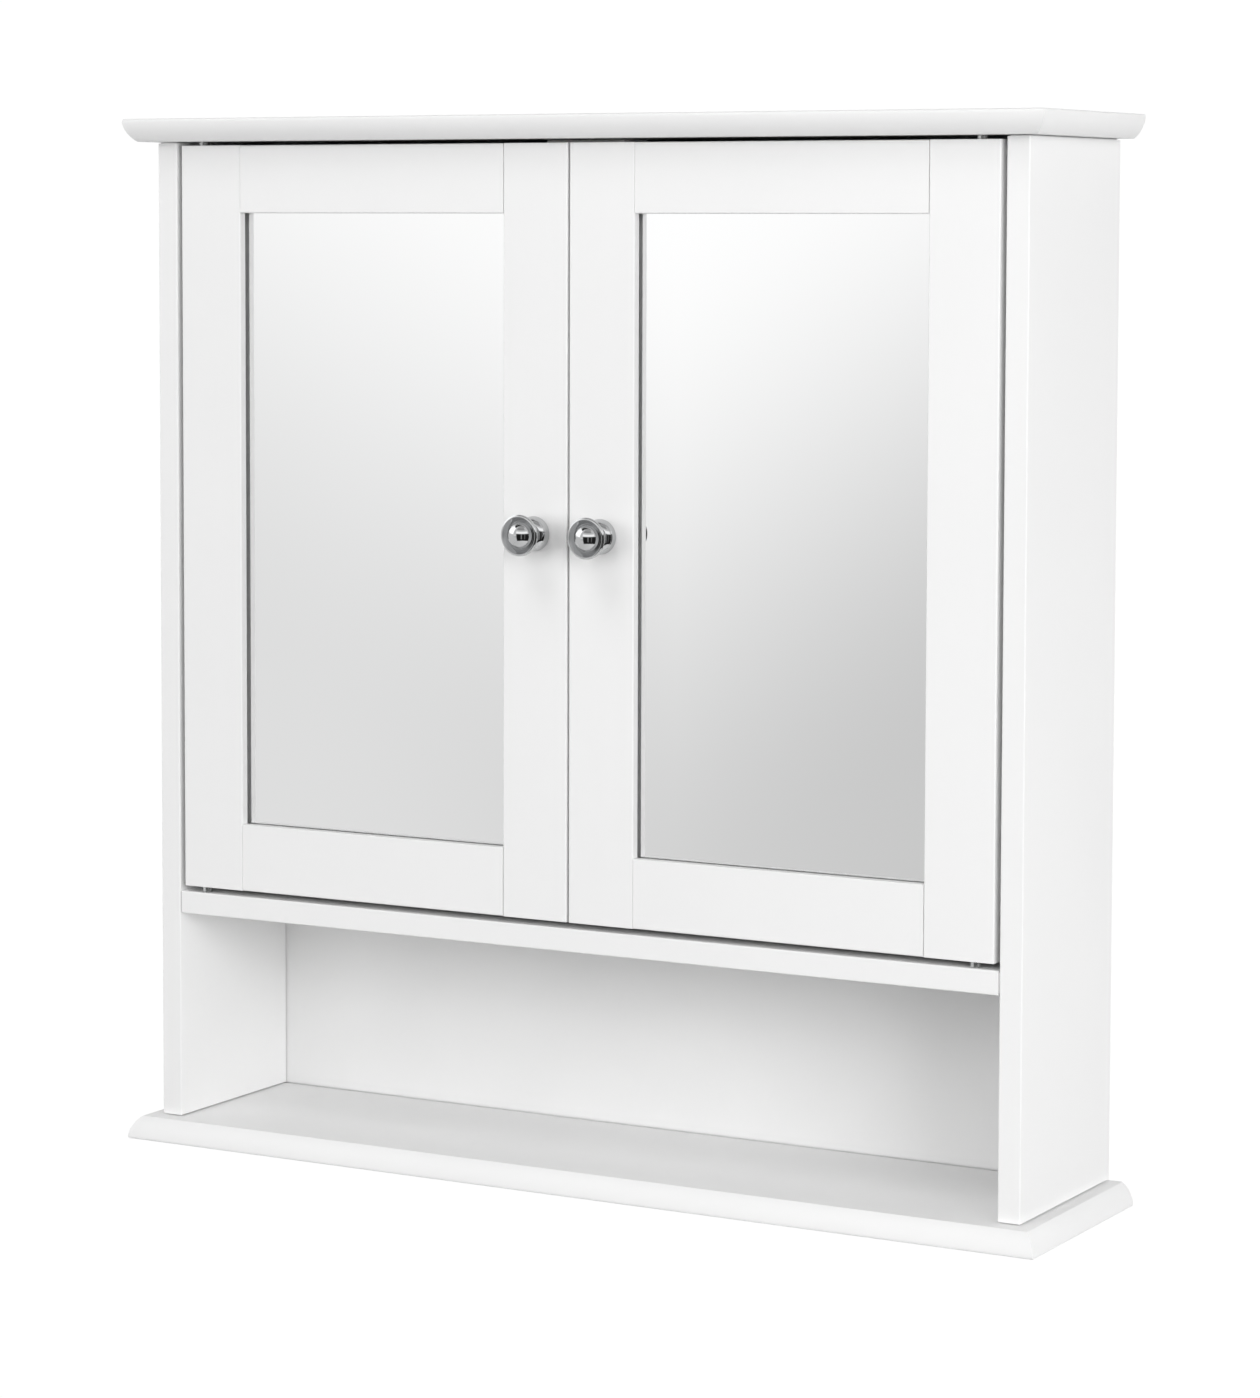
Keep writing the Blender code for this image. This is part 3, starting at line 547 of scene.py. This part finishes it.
def sprigs(side, steel):
    """Glazing sprigs driven into the frame, which hold the backing board."""
    x, y, z = span(f"{side}_mirror_backing")
    wide, long, thick = SPRIG
    rear = y[1] + thick
    places = []
    for share in (0.18, 0.5, 0.82):
        spot = z[0] + (z[1] - z[0]) * share
        places += [(x[0], spot, 0), (x[1], spot, 180)]
    for share in (0.3, 0.7):
        spot = x[0] + (x[1] - x[0]) * share
        places += [(spot, z[0], 90), (spot, z[1], 270)]
    corners = [(-SPRIG_BITE, -wide / 2, 0), (long * 0.6, -wide / 2, 0), (long, -wide / 6, MM / 2)]
    corners += [(u, -v, r) for u, v, r in reversed(corners)]
    for i, (u, v, turn) in enumerate(places):
        bm = bmesh.new()
        prism(bm, outline(corners), "Y", -thick, 0)
        move = Matrix.Translation((u, rear, v)) @ Matrix.Rotation(math.radians(-turn), 4, "Y")
        bmesh.ops.transform(bm, matrix=move, verts=bm.verts)
        piece(f"{side}_sprig_{i + 1}", bm, steel, f"{side}_door")


def knob_profile():
    """The turned knob: flat foot, domed flange, waist, stepped cap, and a ball seated in a dish."""
    ball, centre = KNOB_BALL
    rim, rim_height = KNOB_RIM
    foot = [(0, 0), (9.1, 0), (9.4, 0.3), (9.4, 1.0)]
    flange = [(4.6 + 4.6 * math.cos(a), 1.2 + 5.0 * math.sin(a)) for a in
              [math.radians(9 * i) for i in range(10)]]
    waist = [(4.5, 6.8), (4.45, 7.6), (4.6, 8.4)]
    flare = [(8.8 - 4.1 * math.cos(a), 10.1 + 2.6 * math.sin(a)) for a in
             [math.radians(10 * i) for i in range(9)]]
    step = [(9.2, 12.8), (9.5, 13.1), (9.5, 13.7), (9.3, 14.0), (9.5, 14.3)]
    bead = [(rim - 1.0 + math.cos(a), rim_height + 1.2 * math.sin(a)) for a in
            [math.radians(-80 + 18 * i) for i in range(11)]]
    dish = [(9.9, 16.9), (9.3, 16.0), (8.7, 15.2), (8.1, 14.5), (7.66, 14.0)]
    meet = math.degrees(math.acos((dish[-1][1] - centre) / ball))
    dome = [(ball * math.sin(a), centre + ball * math.cos(a)) for a in
            [math.radians(meet * (1 - i / 22)) for i in range(22)]]
    points = foot + flange + waist + flare + step + bead + dish + dome
    return [(r * MM, h * MM) for r, h in points] + [(0, (centre + ball) * MM)]


def knob(side, material):
    x, y, z = span(f"{side}_knob")
    place = (sum(x) / 2, y[1], sum(z) / 2)
    bm = bmesh.new()
    turned(bm, knob_profile(), place, (0, -1, 0), 112)
    piece(f"{side}_knob_turned", bm, material, f"{side}_door", [f"{side}_knob"], sharp=50)


def main():
    paint, steel = white_paint(), zinc_steel()
    by_slot = {
        "paint": paint,
        "hardboard": white_hardboard(),
        "mirror": mirror_silver(),
        "chrome": chrome(),
        "steel": steel,
        "plastic": white_plastic(),
        "magnet": ferrite(),
    }
    mould = moulded_paint()
    moulded_board("top_board", 1, mould)
    moulded_board("bottom_board", -1, mould)
    for side in SIDES:
        mirror(side, by_slot["mirror"])
        sprigs(side, steel)
        knob(side, by_slot["chrome"])
    for part in frame["record"]["subparts"]:
        node = part["node"]
        if not frame["nodes"][node].hide_render:
            dressed(node, by_slot[part["material_slot"]])
    camera()
    studio()


# ---------------------------------------------------------------- camera and studio
def camera():
    made = bpy.data.objects.new("camera", bpy.data.cameras.new("camera"))
    bpy.context.scene.collection.objects.link(made)
    yaw, pitch, roll = (math.radians(a) for a in CAMERA_TURN)
    turn = Matrix.Rotation(yaw, 4, "Z") @ Matrix.Rotation(math.pi / 2 + pitch, 4, "X")
    made.matrix_world = Matrix.Translation(CAMERA_PLACE) @ turn @ Matrix.Rotation(roll, 4, "Z")
    made.data.sensor_width = 36
    made.data.lens = CAMERA_LENS
    made.data.shift_y = CAMERA_SHIFT_Y
    bpy.context.scene.camera = made


def studio():
    bpy.context.scene.view_settings.view_transform = "Standard"
    floor()
    for name, (bearing, height, power) in LIGHTS.items():
        light(name, bearing, height, power)
    studio_world()


def floor():
    bm = bmesh.new()
    bmesh.ops.create_circle(bm, cap_ends=True, segments=96, radius=FLOOR_RADIUS)
    mesh = bpy.data.meshes.new("floor")
    bm.to_mesh(mesh)
    bm.free()
    made = bpy.data.objects.new("floor", mesh)
    made.location = (0, -0.1, FLOOR_HEIGHT)
    mesh.materials.append(floor_paper())
    bpy.context.scene.collection.objects.link(made)


def light(name, bearing, height, power):
    """A square soft light that faces the cabinet and isn't seen in its mirrors."""
    data = bpy.data.lights.new(name, "AREA")
    data.size = LIGHT_SIZE
    data.energy = power
    made = bpy.data.objects.new(name, data)
    across, up = math.radians(bearing), math.radians(height)
    out = Vector((math.sin(across) * math.cos(up), -math.cos(across) * math.cos(up), math.sin(up)))
    made.location = Vector(AIM) + out * LIGHT_REACH
    made.rotation_euler = (-out).to_track_quat("-Z", "Y").to_euler()
    made.visible_glossy = False
    bpy.context.scene.collection.objects.link(made)


class Sky:
    """The studio round the cabinet, as a function of direction: bearing from the front (positive to
    the right) and height above the horizon, both in degrees."""

    def __init__(self, world):
        world.use_nodes = True
        self.tree = world.node_tree
        self.tree.nodes.clear()
        ray = self.tree.nodes.new("ShaderNodeTexCoord").outputs["Generated"]
        split = self.tree.nodes.new("ShaderNodeSeparateXYZ")
        self.tree.links.new(ray, split.inputs[0])
        x, y, z = split.outputs
        back = self.maths("MULTIPLY", y, -1)
        self.bearing = self.maths("MULTIPLY", self.maths("ARCTAN2", x, back), 180 / math.pi)
        self.height = self.maths("MULTIPLY", self.maths("ARCSINE", z), 180 / math.pi)

    def maths(self, operation, *values):
        made = self.tree.nodes.new("ShaderNodeMath")
        made.operation = operation
        for value, socket in zip(values, made.inputs):
            if isinstance(value, bpy.types.NodeSocket):
                self.tree.links.new(value, socket)
            else:
                socket.default_value = value
        return made.outputs[0]

    def ramp(self, value, start, end, low=0.0, high=1.0):
        """Goes smoothly from low to high while a value goes from start to end."""
        made = self.tree.nodes.new("ShaderNodeMapRange")
        made.interpolation_type = "SMOOTHSTEP"
        self.tree.links.new(value, made.inputs["Value"])
        for key, number in zip(("From Min", "From Max", "To Min", "To Max"), (start, end, low, high)):
            self.put(number, made.inputs[key])
        return made.outputs[0]

    def put(self, value, socket):
        if isinstance(value, bpy.types.NodeSocket):
            self.tree.links.new(value, socket)
        else:
            socket.default_value = value

    def patch(self, under, bearings, heights, value, soft):
        """Lays a soft-edged patch of one brightness over what is under it."""
        inside = self.ramp(self.bearing, bearings[0] - soft, bearings[0] + soft)
        for edge, values, way in (
            (bearings[1], self.bearing, -1),
            (heights[0], self.height, 1),
            (heights[1], self.height, -1),
        ):
            inside = self.maths("MULTIPLY", inside, self.ramp(values, edge - way * soft, edge + way * soft))
        return self.blend(inside, under, value)

    def blend(self, share, first, second):
        made = self.tree.nodes.new("ShaderNodeMix")
        made.data_type = "FLOAT"
        for value, socket in zip((share, first, second), (made.inputs[0], made.inputs[2], made.inputs[3])):
            self.put(value, socket)
        return made.outputs[0]


def studio_world():
    """White behind the cabinet, a studio with soft boxes and dark gaps for its reflections, and a
    band of light at the horizon for everything that is lit."""
    world = bpy.data.worlds.new("studio")
    bpy.context.scene.world = world
    sky = Sky(world)
    room = ROOM
    for bearings, heights, value, soft in ROOM_PATCHES:
        room = sky.patch(room, bearings, heights, value, soft)
    # The wall opposite the mirrors: brightest at one bearing, falling to grey below the horizon
    off = sky.maths("ABSOLUTE", sky.maths("ADD", sky.bearing, 28.5))
    sunk = sky.maths("SUBTRACT", sky.height, sky.maths("MINIMUM", sky.maths("MULTIPLY", off, 0.6), 4.0))
    low = sky.ramp(sky.bearing, -34, -24, 0.76, 0.60)
    room = sky.patch(room, (-40, -19), (-13, 6), sky.ramp(sunk, -9.5, 0.5, low, 1.04), 2.5)
    lit = sky.maths("MULTIPLY", sky.ramp(sky.height, -4, 4), sky.ramp(sky.height, 34, 26, 0, SKY_LIGHT))
    lit = sky.maths("ADD", lit, sky.ramp(sky.height, -30, -40, 0, GROUND_LIGHT))
    path = sky.tree.nodes.new("ShaderNodeLightPath")
    direct = sky.maths("LESS_THAN", path.outputs["Diffuse Depth"], 0.5)
    seen = sky.blend(sky.maths("MULTIPLY", direct, path.outputs["Is Glossy Ray"]), lit, room)
    seen = sky.blend(path.outputs["Is Camera Ray"], seen, BACKDROP)
    background = sky.tree.nodes.new("ShaderNodeBackground")
    sky.tree.links.new(seen, background.inputs["Color"])
    output = sky.tree.nodes.new("ShaderNodeOutputWorld")
    sky.tree.links.new(background.outputs[0], output.inputs[0])


main()
